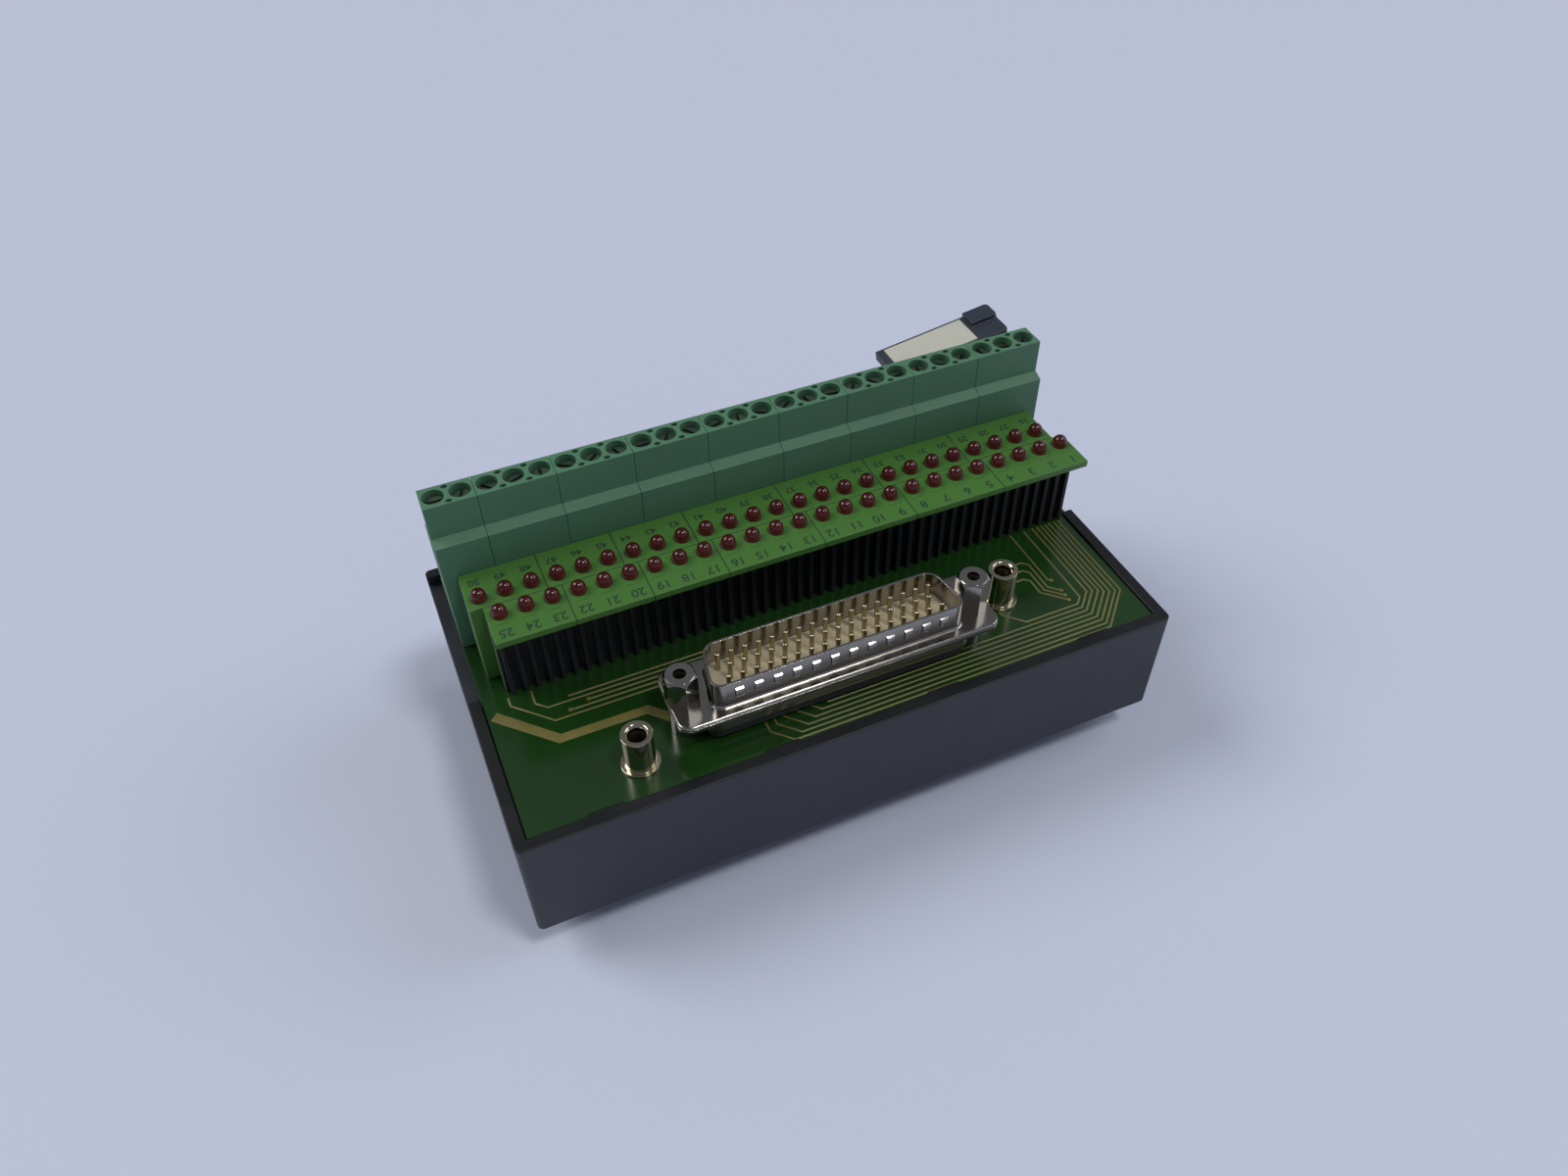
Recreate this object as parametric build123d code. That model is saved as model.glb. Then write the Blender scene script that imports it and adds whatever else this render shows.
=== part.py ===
from build123d import *
import os

# D-sub terminal block adapter: a moulded tray that clips to a mounting rail and holds
# a circuit board. A 50-way plug stands at the front of the board, a two-tier screw
# terminal block along the back, and a deck of signal lamps between them.
# Millimetres. Z is up, X runs along the row of terminals, and the plug is on the -Y side.
# The origin is on the surface that the rail feet stand on, under the middle of the tray.

# The smallest round details, which repeat for every pole, are drawn with this many sides.
stud_sides = 12
screw_sides = 8
lamp_sides = 8
contact_sides = 6

# Poles and their pitch
pole_pitch = 5.08
poles_per_housing = [2, 3, 3, 3, 3, 3, 3, 3, 3]
lamps_per_deck = [3, 3, 3, 4, 4, 4, 4]
pole_count = sum(poles_per_housing)
lamp_count = sum(lamps_per_deck)
row_length = pole_count * pole_pitch
row_start = -row_length / 2

# Tray
tray_wall = 2.5
tray_floor = 2.5
tray_height = 26.5
row_margin = 0.26
tray_length = row_length + 2 * (row_margin + tray_wall)
tray_corner = 1.2
board_ledge = 1.6
ledge_depth = 3.0
nib_length = 7.0
nib_reach = 0.6
nib_count = 4
tray_rib = 1.6
foot_height = 9.0

tray_bottom = foot_height
tray_rim = tray_bottom + tray_height

# Circuit board
board_thickness = 1.6
board_gap = 0.15
rim_step = 0.5
board_top = tray_rim - rim_step
board_bottom = board_top - board_thickness
board_length = tray_length - 2 * (tray_wall + board_gap)

# Terminal housings: one moulding profile, seen from the end
block_height = 35.1
top_face_depth = 6.0
upper_wall = 7.4
ledge_drop = 0.9
ledge_reach = 2.2
step_height = 18.4
step_depth = 10.2
housing_gap = 0.06
block_depth = ledge_reach + top_face_depth + step_depth
block_top = board_top + block_height
step_top = board_top + step_height

# Wire clamps: a screw in its hole and a clamp plate over the wire
screw_hole_radius = 2.1
screw_radius = 1.8
screw_recess = 1.2
entry_width = 3.9
entry_height = 6.2
entry_below_top = 8.4
clamp_gap = 0.12
clamp_length = 5.0
clamp_thickness = 0.8

# Lamp decks
deck_height = 19.2
deck_lip = 1.5
lip_overhang = 5.3
front_cell_depth = 4.7
rear_cell_depth = 10.4
lamp_offset = 2.8
deck_gap = 0.1
deck_shell = 1.2
deck_plate = 2.4
lamp_radius = 1.5
lamp_height = 2.4
lamp_taper = 14
deck_depth = lip_overhang + front_cell_depth + rear_cell_depth
deck_top = board_top + deck_height
front_row_start = row_start + pole_pitch
rear_row_start = front_row_start - pole_pitch / 2

# Resistor networks that stand under the lips of the decks, with a rib at every half pitch
network_margin = 0.1
network_thickness = 0.5
network_rib = 0.9
network_rib_reach = 1.3
network_gap = 0.2

# Plug: shell, insulator, contacts and fixings
plug_x = -1.5
contact_rows = [17, 16, 17]
contact_pitch = 2.77
contact_row_pitch = 2.84
contact_end_margin = 4.24
contact_side_margin = 2.71
contact_radius = 0.5
contact_recess = 0.6
can_end_margin = 1.4
can_side_margin = 0.95
flange_end_margin = 5.65
flange_side_margin = 1.2
flange_corner = 2.4
flange_thickness = 0.8
flange_height = 8.4
plug_hole_inset = 2.895
plug_hole_radius = 1.55
shell_height = 6.0
shell_wall = 0.5
shell_corner = 2.6
shell_draft = 10
rear_shell_height = 4.2
insulator_face = 1.0
insulator_gap = 0.05
insulator_standoff = 0.9
shell_length = (max(contact_rows) - 1) * contact_pitch + 2 * contact_end_margin
shell_width = (len(contact_rows) - 1) * contact_row_pitch + 2 * contact_side_margin
rear_shell_length = shell_length + 2 * can_end_margin
rear_shell_width = shell_width + 2 * can_side_margin
flange_length = rear_shell_length + 2 * flange_end_margin
flange_width = rear_shell_width + 2 * flange_side_margin
plug_hole_spacing = flange_length - 2 * plug_hole_inset
contact_height = shell_height - insulator_face - contact_recess
flange_top = board_top + flange_height
flange_bottom = flange_top - 2 * flange_thickness
rear_shell_bottom = flange_bottom + flange_thickness - rear_shell_height
insulator_bottom = board_top + insulator_standoff
insulator_top = flange_top + insulator_face

# Jack posts, the spacers under the flange and the nuts under the board
post_across_flats = 5.8
post_height = 6.7
post_bore_radius = 1.25
post_bore_depth = 5.0
stud_radius = 1.45
stud_end = 0.6
spacer_radius = 2.75
thread_gap = 0.05
nut_height = 2.4
pan_head_radius = 2.8
pan_head_height = 1.8
board_hole_radius = 1.6

# Round threaded standoffs, pressed into the board
standoff_radius = 3.05
standoff_clearance = 4.5
standoff_inset = 3.0
standoff_height = 8.7
standoff_bore_radius = 1.65
standoff_bore_depth = 7.4
standoff_shank_radius = 2.3
shank_gap = 0.02
standoff_x = flange_length / 2 + standoff_clearance + standoff_radius
standoff_y = flange_width / 2 - standoff_inset

# The tray is as deep as the rows that stand on the board, from the plug to the terminals.
plug_margin = 7.2
deck_clearance = 9.0
block_margin = 6.5
plug_depth = plug_margin + flange_width + deck_clearance
tray_depth = plug_depth + deck_depth + deck_gap + block_depth + block_margin
board_depth = tray_depth - 2 * (tray_wall + board_gap)
front_y = -tray_depth / 2
plug_y = front_y + plug_margin + flange_width / 2
lip_y = front_y + plug_depth
network_y = lip_y + lip_overhang
deck_wall_y = network_y + network_thickness
seam_y = network_y + front_cell_depth
front_lamp_y = seam_y - lamp_offset
rear_lamp_y = seam_y + lamp_offset
deck_rear_y = seam_y + rear_cell_depth
block_front_y = deck_rear_y + deck_gap
top_front_y = block_front_y + ledge_reach
top_rear_y = top_front_y + top_face_depth
block_rear_y = top_rear_y + step_depth
upper_screw_y = (top_front_y + top_rear_y) / 2
lower_screw_y = (top_rear_y + block_rear_y) / 2

# Rail feet with a fixed hook, a sprung latch and its spring
rail_width = 35.0
rail_flange = 1.0
rail_play = 0.3
foot_x = 44.0
foot_width = 18.0
foot_seat_depth = 5.0
hook_reach = 1.8
hook_thickness = 2.6
foot_rear_y = 27.0
foot_front_y = -26.0
foot_boss = 6.4
foot_screw_front_y = 6.0
foot_screw_rear_y = 21.5
foot_screw_depth = 6.0
latch_travel = 3.5
latch_width = 8.0
latch_wing = 2.0
latch_wing_thickness = 1.3
latch_thickness = 3.2
latch_gap = 0.15
latch_tab = 8.5
latch_tail = 16.5
latch_slot_width = 4.6
latch_slot_depth = 2.2
spring_wire = 0.4
spring_height = 2.2
spring_width = 4.4
spring_gap = 0.2
spring_legs = 6
spring_peg = 1.6
spring_room = 9.0
foot_screw_ys = (foot_screw_front_y, foot_screw_rear_y)
seat_z = foot_height - foot_seat_depth
rail_edge = rail_width / 2
channel_roof = seat_z + latch_thickness + latch_gap

# Marker carrier plugged into the back of the terminals, with its bare label
marker_poles = (21, 24)
marker_overhang = 3.34
marker_length = 28.3
marker_slope = 8.7
marker_drop = 7.2
marker_stand = 5.0
marker_width = 9.6
marker_thickness = 2.2
marker_arm = 4.0
marker_gap = 0.1
marker_peg = 0.8
marker_peg_length = 1.1
marker_grip_depth = 4.6
marker_grip_height = 1.0
label_length = 19.1
label_width = 8.2
label_thickness = 0.6
label_recess = 0.45
label_gap = 0.1
label_left = 1.8
label_end = label_left + label_length + label_gap
marker_left = row_start + marker_poles[0] * pole_pitch - marker_overhang
marker_low_z = block_top - marker_drop
marker_rear_y = top_rear_y + marker_stand + marker_width


def box(x_low, x_high, y_low, y_high, z_low, z_high):
    """A block between two opposite corners."""
    size = (x_high - x_low, y_high - y_low, z_high - z_low)
    low_corner = (Align.MIN, Align.MIN, Align.MIN)
    return Pos(x_low, y_low, z_low) * Box(*size, align=low_corner)


def round_bar(x, y, z_low, z_high, radius):
    """An upright cylinder between two heights."""
    foot = (Align.CENTER, Align.CENTER, Align.MIN)
    return Pos(x, y, z_low) * Cylinder(radius, z_high - z_low, align=foot)


def plate(outline, z_low, z_high):
    """A flat outline raised from one height to another."""
    return extrude(Pos(0, 0, z_low) * outline, z_high - z_low)


def many_sided(x, y, z_low, z_high, radius, sides):
    """An upright bar of regular section between two heights."""
    return plate(Pos(x, y) * RegularPolygon(radius, sides), z_low, z_high)


def pole_x(index):
    """Middle of a terminal pole, counted from the left end."""
    return row_start + (index + 0.5) * pole_pitch


def save(name, solids):
    """Writes one node: a single solid, or a group of like solids."""
    if isinstance(solids, list):
        shape = Compound(children=[one for part in solids for one in part.solids()])
    else:
        shape = Compound(children=list(solids.solids()))
    export_step(shape, "parts/" + name + ".step")


def make_tray():
    """The open moulded tray, with a ledge that carries the board and nibs that hold it."""
    outline = RectangleRounded(tray_length, tray_depth, tray_corner)
    tray = plate(outline, tray_bottom, tray_rim)
    inner_x = tray_length / 2 - tray_wall
    inner_y = tray_depth / 2 - tray_wall
    tray -= box(-inner_x, inner_x, -inner_y, inner_y, board_bottom, tray_rim)
    low_x = inner_x - board_ledge
    low_y = inner_y - board_ledge
    ledge_bottom = board_bottom - ledge_depth
    tray -= box(-low_x, low_x, -low_y, low_y, ledge_bottom, board_bottom)
    floor_top = tray_bottom + tray_floor
    tray -= box(-inner_x, inner_x, -inner_y, inner_y, floor_top, ledge_bottom)
    # The end walls are lower beside the lamp decks and the terminal block.
    for side in (-1, 1):
        wall_x = sorted((side * inner_x, side * tray_length / 2))
        tray -= box(*wall_x, network_y, inner_y, board_bottom, tray_rim)
    # Short nibs snap over the front and rear edges of the board.
    for index in range(nib_count):
        middle = (index + 0.5) * tray_length / nib_count - tray_length / 2
        ends = (middle - nib_length / 2, middle + nib_length / 2)
        tray += box(*ends, -inner_y, nib_reach - inner_y, board_top, tray_rim)
        tray += box(*ends, inner_y - nib_reach, inner_y, board_top, tray_rim)
    # Two ribs across the floor stiffen it between the feet, and bosses take the foot screws.
    for x in (-foot_x / 2, foot_x / 2):
        rib = (x - tray_rib / 2, x + tray_rib / 2)
        tray += box(*rib, -inner_y, inner_y, floor_top, floor_top + 2 * tray_rib)
    screw_top = tray_bottom + foot_screw_depth
    half = foot_boss / 2
    for x in (-foot_x, foot_x):
        for y in foot_screw_ys:
            tray += box(
                x - half, x + half, y - half, y + half, floor_top, screw_top + tray_floor
            )
            hole = stud_radius + thread_gap
            tray -= many_sided(x, y, tray_bottom, screw_top, hole, screw_sides)
    return tray


def make_board():
    """The printed circuit board with the holes for the standoffs and the spacer screws."""
    half_x = board_length / 2
    half_y = board_depth / 2
    board = box(-half_x, half_x, -half_y, half_y, board_bottom, board_top)
    layer = (board_bottom, board_top)
    for x, y in standoff_places():
        board -= many_sided(x, y, *layer, standoff_shank_radius + shank_gap, stud_sides)
    for x in post_places():
        board -= many_sided(x, plug_y, *layer, board_hole_radius, stud_sides)
    return board


def housing_profile(x_low, x_high):
    """The two-tier terminal moulding between two ends, before its holes."""
    ledge_top = block_top - upper_wall
    outline = Polyline(
        (block_front_y, board_top),
        (block_front_y, ledge_top - ledge_drop),
        (top_front_y, ledge_top),
        (top_front_y, block_top),
        (top_rear_y, block_top),
        (top_rear_y, step_top),
        (block_rear_y, step_top),
        (block_rear_y, board_top),
        close=True,
    )
    face = make_face(Plane.YZ * outline)
    return Pos(x_low, 0, 0) * extrude(face, x_high - x_low, dir=(1, 0, 0))


def tiers():
    """Screw line, top and wire side of the upper and the lower tier."""
    return ((upper_screw_y, block_top, top_rear_y), (lower_screw_y, step_top, block_rear_y))


def make_housing(first_pole, poles):
    """One terminal moulding of two or three poles, bored and slotted for its clamps."""
    x_low = row_start + first_pole * pole_pitch + housing_gap / 2
    x_high = row_start + (first_pole + poles) * pole_pitch - housing_gap / 2
    housing = housing_profile(x_low, x_high)
    for index in range(first_pole, first_pole + poles):
        x = pole_x(index)
        entry = (x - entry_width / 2, x + entry_width / 2)
        for screw_y, tier_top, wire_y in tiers():
            roof = tier_top - entry_below_top
            inner_y = screw_y - clamp_length / 2 - clamp_gap
            housing -= many_sided(x, screw_y, roof, tier_top, screw_hole_radius, screw_sides)
            housing -= box(*entry, inner_y, wire_y, roof - entry_height, roof)
    for socket in marker_pegs(marker_gap):
        housing -= socket
    return housing


def make_screws(tier):
    """The clamp screws of one tier, sunk in their holes and pressing on the clamp plates."""
    screw_y, tier_top, wire_y = tiers()[tier]
    tip = tier_top - entry_below_top - clamp_gap
    head = tier_top - screw_recess
    return [
        many_sided(pole_x(index), screw_y, tip, head, screw_radius, screw_sides)
        for index in range(pole_count)
    ]


def make_clamp_plates(tier):
    """The clamp plates of one tier, one under each screw at the roof of its wire entry."""
    screw_y, tier_top, wire_y = tiers()[tier]
    top = tier_top - entry_below_top - clamp_gap
    half = entry_width / 2 - clamp_gap
    depth = (screw_y - clamp_length / 2, screw_y + clamp_length / 2)
    return [
        box(pole_x(index) - half, pole_x(index) + half, *depth, top - clamp_thickness, top)
        for index in range(pole_count)
    ]


def make_deck(first_lamp, lamps):
    """One lamp deck: a lipped plate whose two rows are half a pitch apart, on a hollow foot."""
    x_front = front_row_start + first_lamp * pole_pitch
    x_rear = rear_row_start + first_lamp * pole_pitch
    length = lamps * pole_pitch
    gap = housing_gap / 2
    front = (x_front + gap, x_front + length - gap)
    rear = (x_rear + gap, x_rear + length - gap)
    plate_bottom = deck_top - deck_plate
    deck = box(*front, deck_wall_y, seam_y, board_top, deck_top)
    deck += box(*rear, seam_y, deck_rear_y, board_top, deck_top)
    deck += box(*front, lip_y, deck_wall_y, deck_top - deck_lip, deck_top)
    shared = (max(front[0], rear[0]) + deck_shell, min(front[1], rear[1]) - deck_shell)
    deck -= box(
        *shared, deck_wall_y + deck_shell, deck_rear_y - deck_shell, board_top, plate_bottom
    )
    return deck


def make_lamps(row_x, y):
    """One row of round signal lamps that stand out of the deck."""
    lamps = []
    for index in range(lamp_count):
        x = row_x + (index + 0.5) * pole_pitch
        section = Pos(x, y, deck_top) * RegularPolygon(lamp_radius, lamp_sides)
        lamps.append(extrude(section, lamp_height, taper=lamp_taper))
    return lamps


def make_networks():
    """The black resistor networks, one upright ribbed strip in front of each deck."""
    networks = []
    x = front_row_start
    layer = (board_top, deck_top - deck_lip - network_gap)
    for lamps in lamps_per_deck:
        length = lamps * pole_pitch
        ends = (x + network_margin, x + length - network_margin)
        network = box(*ends, network_y, deck_wall_y, *layer)
        for index in range(2 * lamps):
            middle = x + (index + 0.5) * pole_pitch / 2
            rib = (middle - network_rib / 2, middle + network_rib / 2)
            network += box(*rib, network_y - network_rib_reach, network_y, *layer)
        networks.append(network)
        x += length
    return networks


def post_places():
    """X of the two fixing holes of the plug."""
    return (plug_x - plug_hole_spacing / 2, plug_x + plug_hole_spacing / 2)


def standoff_places():
    """Centres of the two standoffs, on opposite corners of the plug."""
    return (
        (plug_x - standoff_x, plug_y - standoff_y),
        (plug_x + standoff_x, plug_y + standoff_y),
    )


def d_outline(inset):
    """The keyed outline of the plug, wider on the side of the first contact row."""
    body = Trapezoid(
        shell_length - 2 * inset, shell_width - 2 * inset, 90 - shell_draft
    )
    rounded = fillet(body.vertices(), shell_corner - inset)
    return Pos(plug_x, plug_y) * rounded


def flange(z_low, z_high):
    """One flange plate of the plug with its two fixing holes."""
    outline = RectangleRounded(flange_length, flange_width, flange_corner)
    sheet = plate(Pos(plug_x, plug_y) * outline, z_low, z_high)
    for x in post_places():
        sheet -= many_sided(x, plug_y, z_low, z_high, plug_hole_radius, stud_sides)
    return sheet


def make_front_shell():
    """The drawn front shell: flange and keyed collar."""
    shell_top = flange_top + shell_height
    shell = flange(flange_top - flange_thickness, flange_top)
    shell += plate(d_outline(0), flange_top, shell_top)
    shell -= plate(d_outline(shell_wall), flange_top - flange_thickness, shell_top)
    return shell


def make_rear_shell():
    """The rear shell: a second flange and the shallow can under it."""
    rear_flange_top = flange_bottom + flange_thickness
    shell = flange(flange_bottom, rear_flange_top)
    can = RectangleRounded(rear_shell_length, rear_shell_width, shell_corner)
    inside = RectangleRounded(
        rear_shell_length - 2 * shell_wall,
        rear_shell_width - 2 * shell_wall,
        shell_corner - shell_wall,
    )
    shell += plate(Pos(plug_x, plug_y) * can, rear_shell_bottom, flange_bottom)
    shell -= plate(Pos(plug_x, plug_y) * inside, rear_shell_bottom, rear_flange_top)
    return shell


def contact_places():
    """Centres of the fifty contacts, row by row."""
    places = []
    for row, count in enumerate(contact_rows):
        y = plug_y + (row - 1) * contact_row_pitch
        for index in range(count):
            x = plug_x + (index - (count - 1) / 2) * contact_pitch
            places.append((x, y))
    return places


def make_front_insulator():
    """The front insulator, whose face lies inside the collar."""
    inset = shell_wall + insulator_gap
    return plate(d_outline(inset), flange_bottom + flange_thickness, insulator_top)


def make_rear_insulator():
    """The rear insulator, held in the can under the front one."""
    inset = shell_wall + insulator_gap
    outline = RectangleRounded(
        rear_shell_length - 2 * inset, rear_shell_width - 2 * inset, shell_corner - inset
    )
    top = flange_bottom + flange_thickness
    return plate(Pos(plug_x, plug_y) * outline, insulator_bottom, top)


def make_contacts():
    """The contact pins that stand up from the face of the insulator."""
    tip = insulator_top + contact_height
    return [
        many_sided(x, y, insulator_top, tip, contact_radius, contact_sides)
        for x, y in contact_places()
    ]


def make_posts():
    """The hexagonal jack posts: a threaded hole above, a stud down through the board."""
    hexagon = RegularPolygon(post_across_flats / 2, 6, major_radius=False, rotation=30)
    post_top = flange_top + post_height
    stud_tip = board_bottom - nut_height - stud_end
    posts = []
    for x in post_places():
        post = plate(Pos(x, plug_y) * hexagon, flange_top, post_top)
        post += many_sided(x, plug_y, stud_tip, flange_top, stud_radius, stud_sides)
        post -= round_bar(x, plug_y, post_top - post_bore_depth, post_top, post_bore_radius)
        posts.append(post)
    return posts


def make_spacers():
    """The spacers that carry the flange above the board."""
    layer = (board_top, flange_bottom)
    spacers = []
    for x in post_places():
        spacer = many_sided(x, plug_y, *layer, spacer_radius, stud_sides)
        spacer -= many_sided(x, plug_y, *layer, stud_radius + thread_gap, stud_sides)
        spacers.append(spacer)
    return spacers


def make_nuts():
    """The nuts that hold the jack posts under the board."""
    hexagon = RegularPolygon(post_across_flats / 2, 6, major_radius=False)
    layer = (board_bottom - nut_height, board_bottom)
    nuts = []
    for x in post_places():
        nut = plate(Pos(x, plug_y) * hexagon, *layer)
        nut -= many_sided(x, plug_y, *layer, stud_radius + thread_gap, stud_sides)
        nuts.append(nut)
    return nuts


def make_standoffs():
    """The round threaded standoffs, each with a shank pressed into the board."""
    standoff_top = board_top + standoff_height
    bore_bottom = standoff_top - standoff_bore_depth
    standoffs = []
    for x, y in standoff_places():
        body = round_bar(x, y, board_top, standoff_top, standoff_radius)
        body += many_sided(x, y, board_bottom, board_top, standoff_shank_radius, stud_sides)
        body -= round_bar(x, y, bore_bottom, standoff_top, standoff_bore_radius)
        standoffs.append(body)
    return standoffs


def make_foot(x):
    """A rail foot: seat plate, fixed rear hook, and a stepped channel for the latch."""
    half = foot_width / 2
    sides = (x - half, x + half)
    hook_y = rail_edge + rail_play
    foot = box(*sides, foot_front_y, foot_rear_y, seat_z, tray_bottom)
    foot += box(*sides, hook_y, foot_rear_y, 0, seat_z)
    foot += box(*sides, hook_y - hook_reach, hook_y, 0, hook_thickness)
    channel = latch_width / 2 + latch_gap
    channel_end = latch_tail - rail_edge + latch_gap
    open_sides = (x - channel, x + channel)
    foot -= box(*open_sides, foot_front_y, channel_end, seat_z, channel_roof)
    wing = channel + latch_wing
    wing_low = channel_roof - latch_wing_thickness - 2 * latch_gap
    foot -= box(x - wing, x + wing, foot_front_y, channel_end, wing_low, channel_roof)
    # The peg at the front of the spring hangs from the roof of the channel.
    peg_front = spring_front() - spring_peg
    foot += box(
        x - spring_width / 2, x + spring_width / 2, peg_front, spring_front(),
        seat_z + latch_gap, channel_roof,
    )
    # Holes for the two screws, whose heads sit flush in the seat.
    head_top = seat_z + pan_head_height
    for y in foot_screw_ys:
        stud_hole = stud_radius + thread_gap
        foot -= many_sided(x, y, head_top, tray_bottom, stud_hole, screw_sides)
        foot -= many_sided(x, y, 0, head_top, pan_head_radius + latch_gap, screw_sides)
    return foot


def spring_front():
    """Y of the fixed end of the spring."""
    return latch_tail - rail_edge - latch_wing - spring_room


def make_latch(x):
    """The sliding latch: a winged bar with a hook for the rail and a pull tab at the front."""
    half = latch_width / 2
    sides = (x - half, x + half)
    hook_y = -rail_edge - rail_play
    tail_y = latch_tail - rail_edge
    roof = channel_roof - latch_gap
    tab_y = foot_front_y - latch_tab
    latch = box(*sides, tab_y, tail_y, seat_z, roof)
    wing = half + latch_wing
    latch += box(x - wing, x + wing, foot_front_y, tail_y, roof - latch_wing_thickness, roof)
    latch += box(*sides, hook_y - hook_thickness * 2, hook_y, 0, seat_z)
    latch += box(*sides, hook_y, hook_y + hook_reach, 0, hook_thickness)
    # Window for the spring and its peg, long enough for the travel.
    window = spring_width / 2 + latch_gap
    window_front = spring_front() - spring_peg - latch_gap
    window_rear = spring_front() + spring_room
    latch -= box(x - window, x + window, window_front, window_rear, seat_z, roof)
    # Slot in the pull tab for the tip of a screwdriver.
    slot_y = tab_y + latch_tab / 3
    slot = latch_slot_width / 2
    latch -= box(x - slot, x + slot, slot_y, slot_y + latch_slot_depth, seat_z, roof)
    return latch


def make_spring(x):
    """The folded strip spring that pushes the latch shut."""
    first_leg = spring_front() + spring_wire / 2
    leg_pitch = (spring_room - spring_wire) / (spring_legs - 1)
    reach = (spring_width - spring_gap - spring_wire) / 2
    points = []
    for index in range(spring_legs):
        side = 1 if index % 2 else -1
        y = first_leg + index * leg_pitch
        points.append((x + side * reach, y))
        points.append((x - side * reach, y))
    strip = trace(Polyline(*points), spring_wire)
    low = seat_z + spring_gap
    return plate(strip, low, low + spring_height)


def make_foot_screws():
    """The pan head screws that hold the feet to the bosses of the tray, heads below."""
    tip = tray_bottom + foot_screw_depth - latch_gap
    head_top = seat_z + pan_head_height
    screws = []
    for x in (-foot_x, foot_x):
        for y in foot_screw_ys:
            screw = many_sided(x, y, seat_z, head_top, pan_head_radius, screw_sides)
            screw += many_sided(x, y, head_top, tip, stud_radius, screw_sides)
            screws.append(screw)
    return screws


def on_marker(shape):
    """Moves a shape drawn from the marker plate's low corner to its sloping place."""
    return Pos(marker_left, marker_rear_y, marker_low_z) * Rot(0, -marker_slope, 0) * shape


def marker_arms():
    """Middle of each arm of the marker carrier, along its sloping plate."""
    middle = row_start - marker_left
    return [middle + pole * pole_pitch for pole in marker_poles]


def marker_pegs(gap):
    """The pegs of the marker carrier, or with a gap round them their sockets."""
    half = marker_peg / 2 + gap
    tip = top_rear_y - marker_rear_y - marker_peg_length - gap
    middle_z = -marker_thickness / 2
    return [
        on_marker(
            box(
                x - half, x + half, tip, tip + 2 * marker_peg_length,
                middle_z - half, middle_z + half,
            )
        )
        for x in marker_arms()
    ]


def make_marker_carrier():
    """The marker carrier: a sloping plate with a recess and a grip, held by two pegged arms."""
    carrier = box(0, marker_length, -marker_width, 0, -marker_thickness, 0)
    grip = (label_end + marker_grip_height, marker_length, -marker_grip_depth, 0)
    carrier += box(*grip, 0, marker_grip_height)
    half = marker_arm / 2
    arm_end = top_rear_y - marker_rear_y + marker_gap
    for x in marker_arms():
        carrier += box(x - half, x + half, arm_end, -marker_width, -marker_thickness, 0)
    label = label_place(label_gap)
    carrier -= box(*label, -label_recess, marker_thickness)
    carrier = on_marker(carrier)
    for peg in marker_pegs(0):
        carrier += peg
    return carrier


def label_place(gap):
    """Sides of the label on the marker plate, or of its recess with a gap."""
    low_y = -(marker_width + label_width) / 2
    return (
        label_left - gap, label_left + label_length + gap,
        low_y - gap, low_y + label_width + gap,
    )


def make_marker_label():
    """The bare label in the recess of the marker carrier."""
    label = box(*label_place(0), -label_recess, label_thickness - label_recess)
    return on_marker(label)


os.makedirs("parts", exist_ok=True)

save("base_tray", make_tray())
save("circuit_board", make_board())

first = 0
housings = []
for poles in poles_per_housing:
    housings.append(make_housing(first, poles))
    first += poles
for number, housing in enumerate(housings, start=1):
    save("terminal_housing_" + str(number), housing)

for tier, label in enumerate(("upper", "lower")):
    save(label + "_clamp_screws", make_screws(tier))
    save(label + "_clamp_plates", make_clamp_plates(tier))

first = 0
for number, lamps in enumerate(lamps_per_deck, start=1):
    save("lamp_deck_" + str(number), make_deck(first, lamps))
    first += lamps
save("front_lamps", make_lamps(front_row_start, front_lamp_y))
save("rear_lamps", make_lamps(rear_row_start, rear_lamp_y))
save("resistor_networks", make_networks())

save("plug_front_shell", make_front_shell())
save("plug_rear_shell", make_rear_shell())
save("front_insulator", make_front_insulator())
save("rear_insulator", make_rear_insulator())
save("plug_contacts", make_contacts())
save("jack_posts", make_posts())
save("flange_spacers", make_spacers())
save("post_nuts", make_nuts())
save("round_standoffs", make_standoffs())

for label, x in (("left", -foot_x), ("right", foot_x)):
    save("rail_foot_" + label, make_foot(x))
    save("foot_latch_" + label, make_latch(x))
    save("latch_spring_" + label, make_spring(x))
save("foot_screws", make_foot_screws())
save("marker_carrier", make_marker_carrier())
save("marker_label", make_marker_label())
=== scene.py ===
import math

import bpy
from mathutils import Matrix, Vector


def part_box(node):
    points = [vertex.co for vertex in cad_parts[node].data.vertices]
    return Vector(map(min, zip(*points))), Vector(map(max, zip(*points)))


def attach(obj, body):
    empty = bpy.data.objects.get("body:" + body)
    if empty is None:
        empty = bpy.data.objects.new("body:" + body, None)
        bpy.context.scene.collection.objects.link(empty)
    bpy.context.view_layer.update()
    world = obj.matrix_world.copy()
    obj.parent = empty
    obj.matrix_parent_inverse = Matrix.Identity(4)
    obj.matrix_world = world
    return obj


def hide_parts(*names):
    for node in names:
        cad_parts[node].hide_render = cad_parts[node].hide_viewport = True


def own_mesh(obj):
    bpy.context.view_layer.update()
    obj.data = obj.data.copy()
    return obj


# D-sub terminal block adapter: a black tray with a green circuit board, a plug at the
# front, a screw terminal block along the back and a deck of signal lamps between them.
# Sizes are in millimetres where a name ends in _mm, and in metres elsewhere.

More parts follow.
